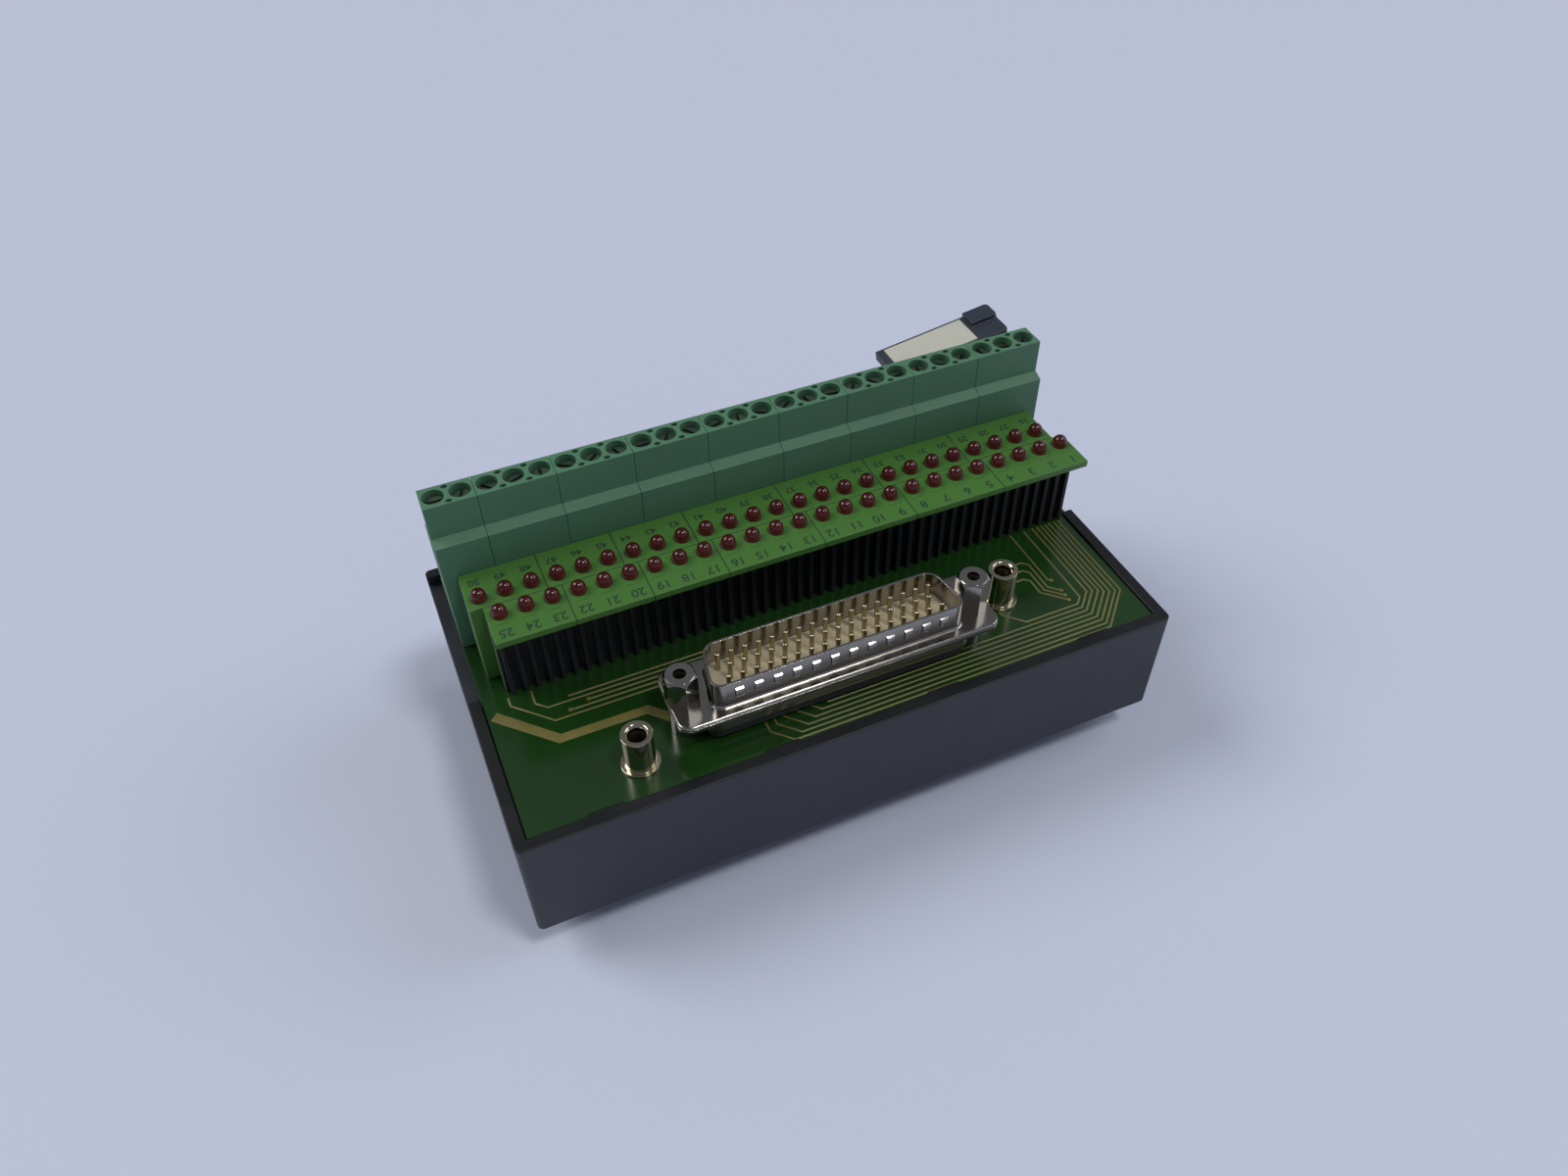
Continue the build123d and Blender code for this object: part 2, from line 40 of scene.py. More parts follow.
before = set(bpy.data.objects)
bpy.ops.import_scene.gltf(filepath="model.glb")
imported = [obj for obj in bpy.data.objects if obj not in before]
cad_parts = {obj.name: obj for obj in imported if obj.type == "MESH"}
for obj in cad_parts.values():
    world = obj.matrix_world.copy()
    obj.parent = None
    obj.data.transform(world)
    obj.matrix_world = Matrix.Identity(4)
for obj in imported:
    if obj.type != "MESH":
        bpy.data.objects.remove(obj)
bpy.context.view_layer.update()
MM = 0.001


# Tray. Moulded black polyamide, open at the top, with a ledge for the board and small
# nibs over the board's edges. The mould leaves a fine matt grain and softly rounded
# edges. The walls are dark grey with faint lighter clouds, and a band along the top of
# the rim is painted near black as shade.
tray_edge_mm = 0.35
tray_grey_hex = "#181c22"
tray_worn_hex = "#232830"
rim_shade_hex = "#020406"
rim_shade_mm = 0.5
grain_mm = 0.35
grain_relief_mm = 0.012


def pick(obj):
    """Makes this object the only one that is selected."""
    bpy.ops.object.select_all(action="DESELECT")
    obj.select_set(True)
    bpy.context.view_layer.objects.active = obj
    return obj


def modify(obj, kind, **settings):
    """Adds a modifier with its settings and applies it."""
    pick(obj)
    modifier = obj.modifiers.new(kind, kind)
    for setting, value in settings.items():
        setattr(modifier, setting, value)
    bpy.ops.object.modifier_apply(modifier=modifier.name)
    return obj


def round_edges(obj, width_mm, segments=2):
    """Rounds every edge that turns by more than forty degrees."""
    return modify(
        obj, "BEVEL", width=width_mm * MM, segments=segments, limit_method="ANGLE",
        angle_limit=math.radians(40), use_clamp_overlap=True,
    )


def merged_copy(node):
    """A copy of a node with the triangles of each flat face merged."""
    obj = bpy.data.objects.new(node + "_finished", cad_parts[node].data.copy())
    bpy.context.scene.collection.objects.link(obj)
    pick(obj)
    bpy.ops.object.mode_set(mode="EDIT")
    bpy.ops.mesh.select_all(action="SELECT")
    bpy.ops.mesh.remove_doubles(threshold=0.000002)
    bpy.ops.mesh.dissolve_limited(angle_limit=math.radians(1))
    bpy.ops.object.mode_set(mode="OBJECT")
    return obj


def softened(node, width_mm, segments=2):
    """A copy of a moulded or pressed node with merged faces and rounded edges."""
    return round_edges(merged_copy(node), width_mm, segments)


def finish_piece(obj, name, material, body="module", nodes=()):
    """Puts the piece's place in its mesh and gives it its name, material and body."""
    pick(obj)
    bpy.ops.object.transform_apply(location=True, rotation=True, scale=True)
    bpy.ops.object.shade_smooth_by_angle(angle=math.radians(35))
    modify(obj, "WEIGHTED_NORMAL", keep_sharp=True)
    obj.name = name
    obj.data.name = name
    obj.data.materials.clear()
    obj.data.materials.append(material)
    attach(obj, body)
    if nodes:
        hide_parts(*nodes)
    return obj


def linear(hex_colour):
    """An sRGB hex colour as the linear colour that a shader takes."""
    channels = [int(hex_colour[place:place + 2], 16) / 255 for place in (1, 3, 5)]
    bright = [c / 12.92 if c <= 0.04045 else ((c + 0.055) / 1.055) ** 2.4 for c in channels]
    return (*bright, 1.0)


def new_material(name):
    """A material with an empty node tree."""
    material = bpy.data.materials.new(name)
    material.use_nodes = True
    material.node_tree.nodes.clear()
    return material


def add_node(material, kind, inputs=None, **settings):
    """Adds a node with its settings, and gives each input a value or a link."""
    node = material.node_tree.nodes.new(kind)
    for setting, value in settings.items():
        setattr(node, setting, value)
    for name, value in (inputs or {}).items():
        if isinstance(value, bpy.types.NodeSocket):
            material.node_tree.links.new(value, node.inputs[name])
        else:
            node.inputs[name].default_value = value
    return node


def moulded_plastic(name, hex_colour, worn_colour, roughness):
    """Moulded plastic: even colour with faint clouds of wear and a fine matt grain."""
    material = new_material(name)
    place = add_node(material, "ShaderNodeTexCoord").outputs["Object"]
    clouds = add_node(
        material, "ShaderNodeTexNoise", {"Vector": place, "Scale": 90, "Detail": 4}
    )
    grain_noise = add_node(
        material, "ShaderNodeTexNoise", {"Vector": place, "Scale": 1 / (grain_mm * MM), "Detail": 2}
    )
    colour = add_node(
        material, "ShaderNodeMix",
        {0: clouds.outputs["Fac"], 6: linear(hex_colour), 7: linear(worn_colour)},
        data_type="RGBA",
    )
    gloss = add_node(
        material, "ShaderNodeMapRange",
        {"Value": clouds.outputs["Fac"], "From Min": 0.3, "From Max": 0.7,
         "To Min": roughness - 0.05, "To Max": roughness + 0.07},
    )
    relief = add_node(
        material, "ShaderNodeBump",
        {"Height": grain_noise.outputs["Fac"], "Strength": 0.4, "Distance": grain_relief_mm * MM},
    )
    shader = add_node(
        material, "ShaderNodeBsdfPrincipled",
        {"Base Color": colour.outputs[2], "Roughness": gloss.outputs["Result"],
         "Normal": relief.outputs["Normal"], "IOR": 1.5},
    )
    add_node(material, "ShaderNodeOutputMaterial", {"Surface": shader.outputs["BSDF"]})
    return material


def colour_above(material, height, hex_colour):
    """Gives a material another colour above a height."""
    shader_colour = material.node_tree.nodes["Principled BSDF"].inputs["Base Color"]
    place = add_node(material, "ShaderNodeTexCoord").outputs["Object"]
    level = add_node(material, "ShaderNodeSeparateXYZ", {"Vector": place})
    above = add_node(
        material, "ShaderNodeMath", {0: level.outputs["Z"], 1: height}, operation="GREATER_THAN"
    )
    colour = add_node(
        material, "ShaderNodeMix",
        {0: above.outputs[0], 6: shader_colour.links[0].from_socket, 7: linear(hex_colour)},
        data_type="RGBA",
    )
    material.node_tree.links.new(colour.outputs[2], shader_colour)


black_polyamide = moulded_plastic("black_polyamide", tray_grey_hex, tray_worn_hex, 0.42)
# The top band of the rim is painted near black as shade.
colour_above(black_polyamide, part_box("base_tray")[1].z - rim_shade_mm * MM, rim_shade_hex)
tray = softened("base_tray", tray_edge_mm)
finish_piece(tray, "tray", black_polyamide, nodes=["base_tray"])


# Circuit board. Glass epoxy laminate under a glossy green solder resist, with copper
# tracks that show through as raised olive lines. The resist is thin and mirror smooth,
# and the weave of the glass shows in it as a very faint relief.
resist_green_hex = "#193e11"
resist_deep_hex = "#10290d"
track_olive_hex = "#766e3a"
track_shade_hex = "#58542a"
track_height_mm = 0.07
fine_track_mm = 0.42
wide_track_mm = 2.2
pad_mm = 0.95
weave_mm = 0.55
board_low, board_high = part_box("circuit_board")

solder_resist = new_material("solder_resist")
place = add_node(solder_resist, "ShaderNodeTexCoord").outputs["Object"]
depth = add_node(
    solder_resist, "ShaderNodeTexNoise", {"Vector": place, "Scale": 35, "Detail": 3}
)
weave = add_node(
    solder_resist, "ShaderNodeTexBrick",
    {"Vector": place, "Scale": 1 / (weave_mm * MM), "Mortar Size": 0.06, "Bias": 0.0,
     "Color1": (1, 1, 1, 1), "Color2": (0.8, 0.8, 0.8, 1), "Mortar": (0.4, 0.4, 0.4, 1)},
)
resist_colour = add_node(
    solder_resist, "ShaderNodeMix",
    {0: depth.outputs["Fac"], 6: linear(resist_green_hex), 7: linear(resist_deep_hex)},
    data_type="RGBA",
)
resist_relief = add_node(
    solder_resist, "ShaderNodeBump",
    {"Height": weave.outputs["Fac"], "Strength": 0.15, "Distance": 0.004 * MM},
)
resist_shader = add_node(
    solder_resist, "ShaderNodeBsdfPrincipled",
    {"Base Color": resist_colour.outputs[2], "Roughness": 0.2, "IOR": 1.5,
     "Coat Weight": 0.25, "Coat Roughness": 0.12, "Normal": resist_relief.outputs["Normal"]},
)
add_node(solder_resist, "ShaderNodeOutputMaterial", {"Surface": resist_shader.outputs["BSDF"]})
board = softened("circuit_board", 0.12)
finish_piece(board, "board", solder_resist, nodes=["circuit_board"])

covered_copper = new_material("copper_under_resist")
place = add_node(covered_copper, "ShaderNodeTexCoord").outputs["Object"]
mottle = add_node(
    covered_copper, "ShaderNodeTexNoise", {"Vector": place, "Scale": 300, "Detail": 3}
)
copper_colour = add_node(
    covered_copper, "ShaderNodeMix",
    {0: mottle.outputs["Fac"], 6: linear(track_olive_hex), 7: linear(track_shade_hex)},
    data_type="RGBA",
)
copper_shader = add_node(
    covered_copper, "ShaderNodeBsdfPrincipled",
    {"Base Color": copper_colour.outputs[2], "Roughness": 0.4, "Metallic": 0.1,
     "Coat Weight": 0.15, "Coat Roughness": 0.2},
)
add_node(covered_copper, "ShaderNodeOutputMaterial", {"Surface": copper_shader.outputs["BSDF"]})


def track(points_mm, width_mm):
    """One copper track: a flattened line over the board through corner points."""
    curve = bpy.data.curves.new("track", "CURVE")
    curve.dimensions = "3D"
    curve.bevel_depth = width_mm / 2 * MM
    curve.bevel_resolution = 1
    curve.use_fill_caps = True
    line = curve.splines.new("POLY")
    line.points.add(len(points_mm) - 1)
    for point, (x, y) in zip(line.points, points_mm):
        point.co = (x * MM, y * MM, 0, 1)
    obj = bpy.data.objects.new("track", curve)
    bpy.context.scene.collection.objects.link(obj)
    pick(obj)
    bpy.ops.object.convert(target="MESH")
    obj.scale.z = 2 * track_height_mm / width_mm
    obj.location.z = board_high.z
    return obj


def join(pieces):
    """Joins objects into the first of them."""
    pick(pieces[0])
    for piece in pieces:
        piece.select_set(True)
    bpy.ops.object.join()
    return pieces[0]


# The bundle leaves the plug at its front, runs along the front edge and turns back at
# the right end to the lamps.
bundle_count = 8
bundle_pitch_mm = 1.165
bundle_y_mm = -35.1
bundle_start_x_mm = (-14.2, -12.3, -10.4, -8.5, -6.5, -4.5, -2.5, 41.4)
bundle_turn_x_mm = (56.3, 56.1, 55.8, 55.4, 54.9, 54.4, 54.1, 53.8)
bundle_end_x_mm = (64.3, 63.2, 62.0, 60.9, 59.9, 58.8, 57.6, 55.4)
lead_mm = 3.6
lead_straight_mm = 3
deck_edge_y_mm = -3.2
tracks = []
for index in range(bundle_count):
    y = bundle_y_mm + index * bundle_pitch_mm
    start = bundle_start_x_mm[index]
    turn = bundle_turn_x_mm[index]
    end = bundle_end_x_mm[index]
    tracks.append(
        track(
            [(start - lead_mm, y + lead_mm + lead_straight_mm), (start - lead_mm, y + lead_mm),
             (start, y), (turn, y), (end, y + end - turn), (end, deck_edge_y_mm)],
            fine_track_mm,
        )
    )
# Other fine tracks: a group beside the right standoff, and a fan to the left of the plug.
for path in (
    [(43.4, -16.1), (47.4, -16.1), (48.5, -17.2), (48.5, -20.9), (52.8, -25.2)],
    [(44.0, -13.8), (48.6, -13.8), (49.7, -14.9), (49.7, -20.6), (52.8, -23.7)],
    [(46.0, -11.6), (49.6, -11.6), (50.8, -12.8), (50.8, -20.1), (52.9, -22.2)],
    [(52.0, deck_edge_y_mm), (52.0, -18.2), (52.6, -18.8)],
    [(-61.1, deck_edge_y_mm), (-61.1, -5.3), (-54.2, -12.2), (-26.0, -12.2)],
    [(-50.8, -10.9), (-18.0, -10.9)],
    [(-46.8, -9.7), (-10.0, -9.7)],
    [(-56.6, deck_edge_y_mm), (-56.6, -6.6), (-54.7, -8.5), (-2.0, -8.5)],
    [(-50.2, -7.3), (4.0, -7.3)],
):
    tracks.append(track(path, fine_track_mm))
# The wide supply track comes round the left standoff.
tracks.append(
    track([(-64.8, -6.6), (-54.6, -16.8), (-37.3, -16.9), (-33.0, -21.2)], wide_track_mm)
)
# Round pads at the ends of tracks that pass through the board.
for x, y in (
    (52.8, -25.2), (52.8, -23.7), (52.9, -22.2), (52.6, -18.8), (-50.8, -10.9), (-46.8, -9.7),
):
    bpy.ops.mesh.primitive_cylinder_add(
        vertices=20, radius=pad_mm / 2 * MM, depth=track_height_mm * MM,
        location=(x * MM, y * MM, board_high.z + track_height_mm / 2 * MM),
    )
    tracks.append(bpy.context.object)
finish_piece(join(tracks), "board_tracks", covered_copper)


# Terminal mouldings. Each is one green polyamide moulding of two or three poles that
# stand side by side, with a round screw hole over each pole in both tiers, wire entries
# at the back and small core pockets between the poles in the top face.
terminal_green_hex = "#4c785b"
terminal_shade_hex = "#446c52"
pole_pitch_mm = 5.08
terminal_edge_mm = 0.13
screw_hole_mm = 2.1
pocket_mm = 0.5
pocket_stretch = 1.35
pocket_from_screws_mm = 2.15
pocket_depth_mm = 2.0
upper_low, upper_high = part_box("upper_clamp_screws")
lower_low, lower_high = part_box("lower_clamp_screws")
upper_screw_y = (upper_low.y + upper_high.y) / 2
lower_screw_y = (lower_low.y + lower_high.y) / 2
top_depth_mm = 6.0
ledge_reach_mm = 2.2
ledge_drop_mm = 0.9
upper_wall_mm = 7.4
joint_mm = 0.02
step_height_mm = 18.4
entry_mm = (3.9, 6.2)
entry_below_top_mm = 8.4
entry_funnel_mm = 0.4
entry_past_screw_mm = 2.6
bpy.context.tool_settings.mesh_select_mode = (False, False, True)

terminal_plastic = moulded_plastic(
    "green_polyamide", terminal_green_hex, terminal_shade_hex, 0.52
)


def block(low, high):
    """A block between two corners."""
    middle = [(a + b) / 2 for a, b in zip(low, high)]
    size = [b - a for a, b in zip(low, high)]
    bpy.ops.mesh.primitive_cube_add(size=1, location=middle, scale=size)
    bpy.ops.object.transform_apply(location=True, rotation=True, scale=True)
    return bpy.context.object


def upright(x, y, z_low, z_high, radius, sides=32):
    """An upright bar of round section."""
    bpy.ops.mesh.primitive_cylinder_add(
        vertices=sides, radius=radius, depth=z_high - z_low, location=(x, y, (z_low + z_high) / 2)
    )
    bpy.ops.object.transform_apply(location=True, rotation=True, scale=True)
    return bpy.context.object


def select_faces(obj, test):
    """Selects the faces whose middle and normal pass a test, in edit mode."""
    if bpy.context.mode == "EDIT_MESH":
        bpy.ops.object.mode_set(mode="OBJECT")
    pick(obj)
    bpy.ops.object.mode_set(mode="EDIT")
    bpy.ops.mesh.select_all(action="DESELECT")
    bpy.ops.object.mode_set(mode="OBJECT")
    for face in obj.data.polygons:
        face.select = test(face.center, face.normal)
    bpy.ops.object.mode_set(mode="EDIT")


def cut(obj, cutters):
    """Cuts every cutter out of the object and removes the cutters."""
    tool = join(cutters)
    modify(obj, "BOOLEAN", operation="DIFFERENCE", object=tool, solver="EXACT")
    bpy.data.objects.remove(tool)
    return obj


def make_terminal(node):
    """One terminal moulding in the place of its node."""
    low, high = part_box(node)
    low.x += joint_mm * MM
    high.x -= joint_mm * MM
    step_top = board_high.z + step_height_mm * MM
    top_rear = upper_screw_y + top_depth_mm / 2 * MM
    obj = block(low, (high.x, high.y, step_top))
    pick(obj)
    bpy.ops.object.mode_set(mode="EDIT")
    bpy.ops.mesh.select_all(action="SELECT")
    bpy.ops.mesh.bisect(plane_co=(0, top_rear, 0), plane_no=(0, 1, 0))
    select_faces(obj, lambda middle, normal: normal.z > 0.9 and middle.y < top_rear)
    wall_top = high.z - (upper_wall_mm + ledge_drop_mm) * MM
    full_depth = top_depth_mm + ledge_reach_mm
    bpy.ops.mesh.extrude_region_move(TRANSFORM_OT_translate={"value": (0, 0, wall_top - step_top)})
    bpy.ops.mesh.extrude_region_move(TRANSFORM_OT_translate={"value": (0, 0, ledge_drop_mm * MM)})
    bpy.ops.transform.resize(
        value=(1, top_depth_mm / full_depth, 1), center_override=(0, top_rear, 0)
    )
    bpy.ops.mesh.extrude_region_move(TRANSFORM_OT_translate={"value": (0, 0, upper_wall_mm * MM)})
    bpy.ops.object.mode_set(mode="OBJECT")
    poles = round((high.x - low.x) / (pole_pitch_mm * MM))
    cutters = []
    for pole in range(poles):
        x = (low.x + high.x) / 2 + (pole - (poles - 1) / 2) * pole_pitch_mm * MM
        for screw_y, top, wire_y in (
            (upper_screw_y, high.z, top_rear), (lower_screw_y, step_top, high.y),
        ):
            roof = top - entry_below_top_mm * MM
            half = entry_mm[0] / 2 * MM
            floor = roof - entry_mm[1] * MM
            funnel = entry_funnel_mm * MM
            cutters.append(upright(x, screw_y, roof - 0.1 * MM, top + MM, screw_hole_mm * MM, 40))
            inner_y = screw_y - entry_past_screw_mm * MM
            cutters.append(block((x - half, inner_y, floor), (x + half, wire_y + MM, roof)))
            cutters.append(
                block((x - half - funnel / 2, wire_y - funnel, floor - funnel / 2),
                      (x + half + funnel / 2, wire_y + 2 * MM, roof + funnel / 2))
            )
        if pole:
            edge_x = x - pole_pitch_mm / 2 * MM
            for side in (-1, 1):
                pocket_y = upper_screw_y + side * pocket_from_screws_mm * MM
                pocket = upright(
                    0, pocket_y, high.z - pocket_depth_mm * MM, high.z + MM, pocket_mm * MM, 12
                )
                pocket.scale.x = pocket_stretch
                pocket.location.x = edge_x
                bpy.ops.object.transform_apply(location=True, rotation=True, scale=True)
                cutters.append(pocket)
    for cutter in cutters:
        modify(obj, "BOOLEAN", operation="DIFFERENCE", object=cutter, solver="EXACT")
        bpy.data.objects.remove(cutter)
    return round_edges(obj, terminal_edge_mm)


pair = make_terminal("terminal_housing_1")
triple = make_terminal("terminal_housing_2")
triple_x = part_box("terminal_housing_2")[0].x
for number in range(3, 10):
    node = "terminal_housing_" + str(number)
    pick(triple)
    bpy.ops.object.duplicate()
    copy = bpy.context.object
    copy.location.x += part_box(node)[0].x - triple_x
    finish_piece(copy, "terminal_" + str(number), terminal_plastic, nodes=[node])
finish_piece(pair, "terminal_1", terminal_plastic, nodes=["terminal_housing_1"])
finish_piece(triple, "terminal_2", terminal_plastic, nodes=["terminal_housing_2"])


# Clamp screws and plates. Slotted cheese head screws of zinc plated steel sit deep in
# their holes, each turned as the fitter left it, and press on flat steel plates. The
# screws are zinc grey with a painted green reflection of the mouldings, uneven and
# slightly dull.
screw_slot_mm = (0.7, 0.8)
screw_turn_degrees = 67
zinc_hex = "#a9aaa6"
zinc_dull_hex = "#83857f"
zinc_green_reflection_hex = "#667a6c"
zinc_green_reflection_dull_hex = "#526458"


def plated_metal(name, hex_colour, dull_colour, roughness, spots=250.0, relief_mm=0.002):
    """Plated metal: clear reflections with slight clouds in colour and gloss."""
    material = new_material(name)
    place = add_node(material, "ShaderNodeTexCoord").outputs["Object"]
    clouds = add_node(
        material, "ShaderNodeTexNoise", {"Vector": place, "Scale": spots, "Detail": 3}
    )
    colour = add_node(
        material, "ShaderNodeMix",
        {0: clouds.outputs["Fac"], 6: linear(hex_colour), 7: linear(dull_colour)},
        data_type="RGBA",
    )
    gloss = add_node(
        material, "ShaderNodeMapRange",
        {"Value": clouds.outputs["Fac"], "From Min": 0.3, "From Max": 0.7,
         "To Min": roughness * 0.8, "To Max": roughness * 1.4},
    )
    relief = add_node(
        material, "ShaderNodeBump",
        {"Height": clouds.outputs["Fac"], "Strength": 0.25, "Distance": relief_mm * MM},
    )
    shader = add_node(
        material, "ShaderNodeBsdfPrincipled",
        {"Base Color": colour.outputs[2], "Metallic": 1.0, "Roughness": gloss.outputs["Result"],
         "Normal": relief.outputs["Normal"]},
    )
    add_node(material, "ShaderNodeOutputMaterial", {"Surface": shader.outputs["BSDF"]})
    return material


zinc_plating = plated_metal("zinc_plating", zinc_hex, zinc_dull_hex, 0.4)
# Zinc grey with a painted reflection of the green mouldings around the screws.
zinc_painted_green = plated_metal("zinc_painted_green", zinc_green_reflection_hex, zinc_green_reflection_dull_hex, 0.45)


def screw_row(name, node):
    """A row of slotted screws, all from one screw, in the place of their node."""
    low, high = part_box(node)
    radius = (high.y - low.y) / 2
    y = (low.y + high.y) / 2
    screw = upright(0, 0, low.z, high.z, radius, 32)
    half = screw_slot_mm[0] / 2 * MM
    depth = screw_slot_mm[1] * MM
    cut(screw, [block((-radius * 2, -half, high.z - depth), (radius * 2, half, high.z + MM))])
    round_edges(screw, 0.15)
    screws = []
    count = int((high.x - low.x) / (pole_pitch_mm * MM)) + 1
    for index in range(count):
        pick(screw)
        bpy.ops.object.duplicate()
        copy = bpy.context.object
        copy.location = (low.x + radius + index * pole_pitch_mm * MM, y, 0)
        copy.rotation_euler.z = math.radians((index * screw_turn_degrees) % 180)
        screws.append(copy)
    bpy.data.objects.remove(screw)
    return finish_piece(join(screws), name, zinc_painted_green, nodes=[node])


screw_row("upper_screws", "upper_clamp_screws")
screw_row("lower_screws", "lower_clamp_screws")
for tier in ("upper", "lower"):
    node = tier + "_clamp_plates"
    plates = softened(node, 0.1)
    finish_piece(plates, tier + "_plates", zinc_plating, nodes=[node])


# Lamp decks. Light green moulded covers that stand in front of the terminals, with a
# flat lip along the front. Fine dark lines part the two rows of lamps, and plain numbers
# are printed to be read from the wiring side.
deck_green_hex = "#43712c"
deck_shade_hex = "#3c6728"
ink_and_shade_hex = "#16301a"
ink_and_shade_dark_hex = "#24422a"
deck_count = 7
deck_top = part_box("lamp_deck_1")[1].z
front_lamp_low, front_lamp_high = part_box("front_lamps")
rear_lamp_low, rear_lamp_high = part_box("rear_lamps")
front_lamp_y = (front_lamp_low.y + front_lamp_high.y) / 2
rear_lamp_y = (rear_lamp_low.y + rear_lamp_high.y) / 2
lamp_count = 25
lamp_radius_mm = 1.5
number_mm = 2.9
number_from_lamps_mm = 5.1
small_number_mm = 2.3
small_number_from_lamps_mm = 4.6
dash_x_mm = (-1.6, 1.2)
dash_y_mm = (-2.75, -2.65)
bold_mm = 0.05
print_mm = 0.02
print_sink_mm = 0.05
line_mm = 0.2
line_short_mm = (1.0, 2.6)
# Sizes of the painted shade strips at the joints between decks.
joint_shade_line_mm = 0.26
joint_shade_short_mm = 0.2
joint_shade_rise_mm = 0.01

deck_plastic = moulded_plastic("light_green_polyamide", deck_green_hex, deck_shade_hex, 0.4)
# This ink colours the prints and also the painted shade at the deck joints and lamp holes.
ink_and_painted_shade = moulded_plastic("printing_ink_and_painted_shade", ink_and_shade_hex, ink_and_shade_dark_hex, 0.6)
for number in range(1, deck_count + 1):
    node = "lamp_deck_" + str(number)
    deck = softened(node, 0.15)
    finish_piece(deck, "deck_" + str(number), deck_plastic, nodes=[node])

print_and_shade_marks = []
seam_y = (front_lamp_y + rear_lamp_y) / 2
print_low = deck_top - print_sink_mm * MM
print_high = deck_top + print_mm * MM
for number in range(1, deck_count + 1):
    low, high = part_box("lamp_deck_" + str(number))
    half = line_mm / 2 * MM
    print_and_shade_marks.append(
        block((low.x + line_short_mm[0] * MM, seam_y - half, print_low),
              (high.x - line_short_mm[1] * MM, seam_y + half, print_high))
    )
    # Ink strips at the joints between decks are painted shade, standing for the dark gaps.
    if number < deck_count:
        half = joint_shade_line_mm / 2 * MM
        for joint_shade_x, joint_shade_low, joint_shade_high in (
            (high.x, low.y + joint_shade_short_mm * MM, seam_y),
            (high.x - pole_pitch_mm / 2 * MM, seam_y, high.y - joint_shade_short_mm * MM),
        ):
            print_and_shade_marks.append(
                block((joint_shade_x - half, joint_shade_low, print_low),
                      (joint_shade_x + half, joint_shade_high, deck_top + joint_shade_rise_mm * MM))
            )


def printed_number(text, x, y, size_mm):
    """A printed number whose foot points to the wiring side."""
    bpy.ops.object.text_add(location=(x, y, deck_top), rotation=(0, 0, math.pi))
    obj = bpy.context.object
    obj.data.body = text
    obj.data.size = size_mm * MM
    obj.data.align_x = "CENTER"
    obj.data.align_y = "CENTER"
    obj.data.extrude = print_mm * MM
    obj.data.offset = bold_mm * MM
    bpy.ops.object.convert(target="MESH")
    return obj


for index in range(lamp_count):
    front_x = front_lamp_low.x + (lamp_radius_mm + index * pole_pitch_mm) * MM
    front_y = front_lamp_y - number_from_lamps_mm * MM
    print_and_shade_marks.append(printed_number(str(lamp_count - index), front_x, front_y, number_mm))
    rear_x = rear_lamp_low.x + (lamp_radius_mm + index * pole_pitch_mm) * MM
    rear_y = rear_lamp_y + small_number_from_lamps_mm * MM
    print_and_shade_marks.append(printed_number(str(2 * lamp_count - index), rear_x, rear_y, small_number_mm))
    dash_low, dash_high = (
        (front_x + x * MM, front_lamp_y + y * MM) for x, y in zip(dash_x_mm, dash_y_mm)
    )
    print_and_shade_marks.append(block((*dash_low, print_low), (*dash_high, print_high)))
finish_piece(join(print_and_shade_marks), "deck_print_and_painted_shade", ink_and_painted_shade)


# Signal lamps. Round 3 mm lamps of diffused red epoxy with a domed end, each in its own
# hole, whose shade is painted as a thin dark ring. The epoxy is glossy, painted darker in
# the dome as shade and pinker towards the foot as painted light.
lamp_dome_shade_hex = "#37090b"
lamp_foot_light_hex = "#6c201c"
lamp_dome_z_mm = 0.9
lamp_height_mm = 2.4
lamp_hole_shade_mm = 0.17
lamp_hole_shade_rise_mm = 0.015

red_epoxy = new_material("red_epoxy")
place = add_node(red_epoxy, "ShaderNodeTexCoord").outputs["Object"]
height = add_node(red_epoxy, "ShaderNodeSeparateXYZ", {"Vector": place})
# Painted shading: dark red in the dome as shade, pinker towards the foot as painted light.
lamp_shade_to_light = add_node(
    red_epoxy, "ShaderNodeMapRange",
    {"Value": height.outputs["Z"], "From Min": deck_top, "From Max": deck_top + lamp_height_mm * MM,
     "To Min": 0.75, "To Max": 0.0},
)
lamp_painted_shading = add_node(
    red_epoxy, "ShaderNodeMix",
    {0: lamp_shade_to_light.outputs["Result"], 6: linear(lamp_dome_shade_hex), 7: linear(lamp_foot_light_hex)},
    data_type="RGBA",
)
lamp_shader = add_node(
    red_epoxy, "ShaderNodeBsdfPrincipled",
    {"Base Color": lamp_painted_shading.outputs[2], "Roughness": 0.16, "IOR": 1.45,
     "Subsurface Weight": 0.12, "Subsurface Radius": (0.002, 0.0005, 0.0004),
     "Subsurface Scale": 0.5, "Coat Weight": 0.1, "Coat Roughness": 0.05},
)
add_node(red_epoxy, "ShaderNodeOutputMaterial", {"Surface": lamp_shader.outputs["BSDF"]})

